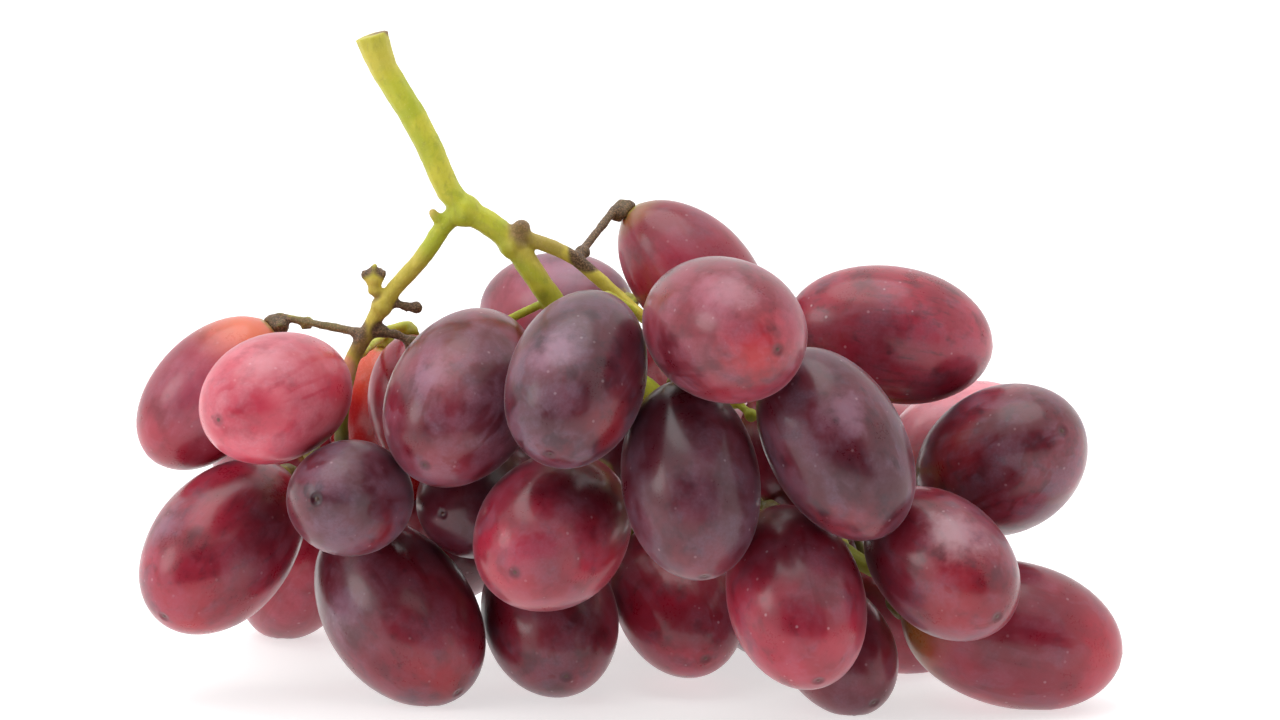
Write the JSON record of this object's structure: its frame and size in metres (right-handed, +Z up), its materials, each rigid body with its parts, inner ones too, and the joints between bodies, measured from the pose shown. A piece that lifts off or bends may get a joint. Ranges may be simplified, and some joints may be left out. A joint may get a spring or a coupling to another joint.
{
  "type": "bunch of grapes",
  "caption": "Bunch of oval red table grapes on one branching green stem, lying on a table with its cut peduncle raised.",
  "frame": {"origin": "on the table, below the middle of the bunch's box", "axes": "+Z up, +X from the wing of the bunch at the cut peduncle's side to its tip, -Y towards a person who faces it"},
  "size_m": [0.1294, 0.0926, 0.0882],
  "materials": {
    "skin_red": "satin, with a pale bloom",
    "skin_purple": "satin, with a grey-violet bloom",
    "stem": "matte"
  },
  "bodies": {
    "root": {"stem": "stem", "grape_wing_1": "skin_red", "grape_wing_2": "skin_red", "grape_wing_3": "skin_red", "grape_wing_4": "skin_red", "grape_wing_5": "skin_purple", "grape_wing_6": "skin_red", "grape_wing_7": "skin_red", "grape_wing_8": "skin_red", "grape_wing_9": "skin_red", "grape_wing_10": "skin_purple", "grape_rachis_1": "skin_purple", "grape_rachis_2": "skin_red", "grape_rachis_3": "skin_red", "grape_rachis_4": "skin_purple", "grape_rachis_5": "skin_red", "grape_rachis_6": "skin_red", "grape_rachis_7": "skin_purple", "grape_shoulder_1": "skin_purple", "grape_shoulder_2": "skin_red", "grape_shoulder_3": "skin_red", "grape_shoulder_4": "skin_red", "grape_front_1": "skin_purple", "grape_front_2": "skin_purple", "grape_front_3": "skin_purple", "grape_inner_1": "skin_purple", "grape_inner_2": "skin_red", "grape_inner_3": "skin_purple", "grape_back_1": "skin_purple", "grape_back_2": "skin_red", "grape_low_1": "skin_red", "grape_low_2": "skin_purple", "grape_low_3": "skin_purple", "grape_low_4": "skin_purple", "grape_low_5": "skin_red", "grape_low_6": "skin_red", "grape_far_1": "skin_purple", "grape_far_2": "skin_red", "grape_far_3": "skin_red", "grape_end_1": "skin_purple", "grape_end_2": "skin_red", "grape_under_1": "skin_red", "grape_under_2": "skin_purple", "grape_under_3": "skin_red"}
  },
  "joints": []
}
